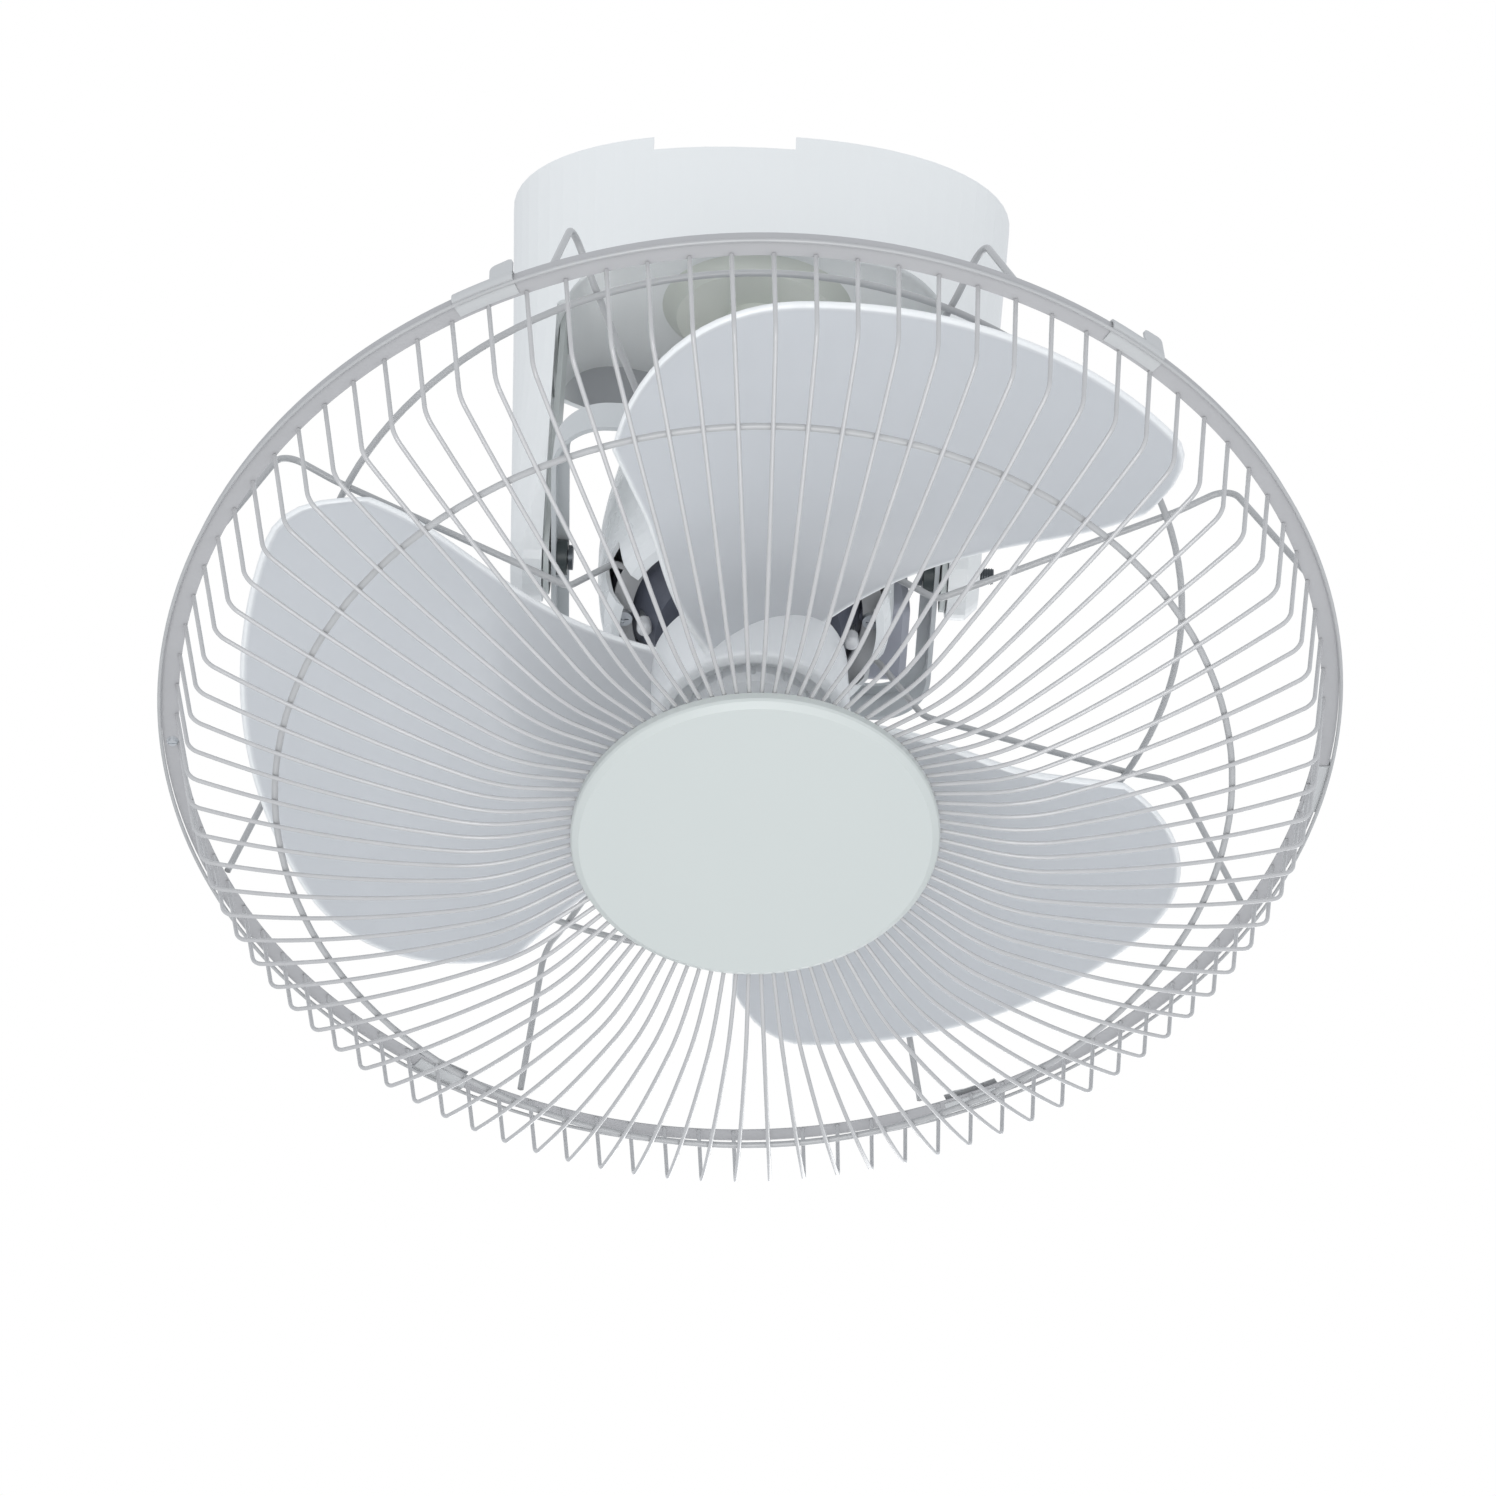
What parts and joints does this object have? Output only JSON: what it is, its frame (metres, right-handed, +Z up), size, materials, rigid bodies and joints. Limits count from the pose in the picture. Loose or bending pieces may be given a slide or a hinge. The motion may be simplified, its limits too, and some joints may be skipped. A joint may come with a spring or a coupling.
{
  "type": "orbital ceiling fan",
  "caption": "Ceiling fan whose caged head orbits on a gimbal under a vaulted canopy, driven by a worm gearbox and crank.",
  "frame": {"origin": "centre of the ceiling plate's upper face, where it meets the ceiling", "axes": "+Z up into the ceiling, -Y towards the viewer the head is tipped to, +X to that viewer's right"},
  "size_m": [0.4423, 0.4111, 0.3729],
  "materials": {
    "zinc_steel": "zinc plated, dull",
    "fork_steel": "satin paint",
    "screw_steel": "zinc plated",
    "bolt_steel": "black oxide",
    "terminal_plastic": "matt",
    "canopy_plastic": "soft gloss white",
    "socket_plastic": "satin",
    "brass": "machined",
    "frame_paint": "satin paint",
    "bush_plastic": "matt black",
    "motor_paint": "satin dark blue-grey",
    "cap_plastic": "white",
    "lamination_steel": "stacked sheet steel",
    "winding_copper": "enamelled copper",
    "bearing_steel": "polished",
    "cowl_plastic": "soft gloss white",
    "cover_plastic": "satin grey",
    "capacitor_plastic": "matt black",
    "gearbox_metal": "die-cast",
    "gear_plastic": "natural acetal",
    "shaft_steel": "ground",
    "blade_plastic": "translucent pale blue-white, gloss",
    "spinner_plastic": "soft gloss white",
    "wire_paint": "plated wire, light grey",
    "hoop_steel": "light grey",
    "clip_plastic": "light grey",
    "rib_paint": "white coated wire",
    "badge_plastic": "satin pale grey"
  },
  "bodies": {
    "ceiling_mount": {"ceiling_plate": "zinc_steel", "fork_bracket": "fork_steel", "fork_screws": "screw_steel", "terminal_block": "terminal_plastic", "canopy_cover": "canopy_plastic", "canopy_standoffs": "brass", "canopy_screws": "screw_steel", "orbit_socket": "socket_plastic", "socket_screws": "screw_steel", "pivot_bolts": "bolt_steel", "pivot_nuts": "screw_steel"},
    "gimbal": {"gimbal_frame": "frame_paint", "pivot_bushes": "bush_plastic", "swing_pins": "screw_steel"},
    "head": {"swing_bushes": "brass", "motor_front_shell": "motor_paint", "motor_rear_shell": "motor_paint", "motor_screws": "screw_steel", "stud_caps": "cap_plastic", "stator_core": "lamination_steel", "stator_windings": "winding_copper", "front_bearing": "bearing_steel", "rear_bearing": "bearing_steel", "motor_cowl": "cowl_plastic", "cowl_screws": "screw_steel", "side_cover": "cover_plastic", "capacitor": "capacitor_plastic", "gearbox_housing": "gearbox_metal", "gearbox_lid": "gearbox_metal", "gearbox_screws": "screw_steel", "guard_mount": "wire_paint", "guard_screws": "screw_steel", "rear_spokes": "wire_paint", "rear_ring": "wire_paint", "rear_rim": "wire_paint", "guard_hoop": "hoop_steel", "hoop_screw": "screw_steel", "guard_clips": "clip_plastic", "front_rim": "rib_paint", "front_ribs": "rib_paint", "front_ring": "rib_paint", "badge": "badge_plastic", "badge_back_plate": "rib_paint", "badge_screws": "screw_steel"},
    "worm_wheel": {"worm_wheel": "gear_plastic"},
    "transfer_gear": {"transfer_gear": "gear_plastic"},
    "crank": {"crank": "brass"},
    "rotor": {"motor_shaft": "shaft_steel", "rotor_core": "lamination_steel", "drive_pin": "shaft_steel", "fan_blades": "blade_plastic", "spinner_nut": "spinner_plastic"}
  },
  "joints": [
    {"name": "gimbal_tilt", "type": "hinge", "parent": "ceiling_mount", "child": "gimbal", "pos_m": [0, 0, -0.165], "axis": [1, 0, 0], "range_deg": [-2, 46]},
    {"name": "head_swing", "type": "hinge", "parent": "gimbal", "child": "head", "pos_m": [0, 0, -0.165], "axis": [0, 0.9272, -0.3746], "range_deg": [-20, 26]},
    {"name": "rotor_spin", "type": "hinge", "parent": "head", "child": "rotor", "pos_m": [0, 0, -0.165], "axis": [-0.0523, 0.3741, 0.9259], "continuous": true},
    {"name": "worm_wheel_turn", "type": "hinge", "parent": "head", "child": "worm_wheel", "pos_m": [-0.00243, 0.00275, -0.11603], "axis": [0.9986, 0.0196, 0.0485], "continuous": true},
    {"name": "transfer_gear_turn", "type": "hinge", "parent": "head", "child": "transfer_gear", "pos_m": [-0.00322, 0.00839, -0.10204], "axis": [0.9986, 0.0196, 0.0485], "continuous": true},
    {"name": "crank_turn", "type": "hinge", "parent": "head", "child": "crank", "pos_m": [0, 0, -0.165], "axis": [-0.0523, 0.3741, 0.9259], "continuous": true}
  ],
  "couplings": [
    {"joint": "worm_wheel_turn", "follows": "rotor_spin", "ratio": 0.05},
    {"joint": "transfer_gear_turn", "follows": "rotor_spin", "ratio": -0.025},
    {"joint": "crank_turn", "follows": "rotor_spin", "ratio": 0.005}
  ]
}
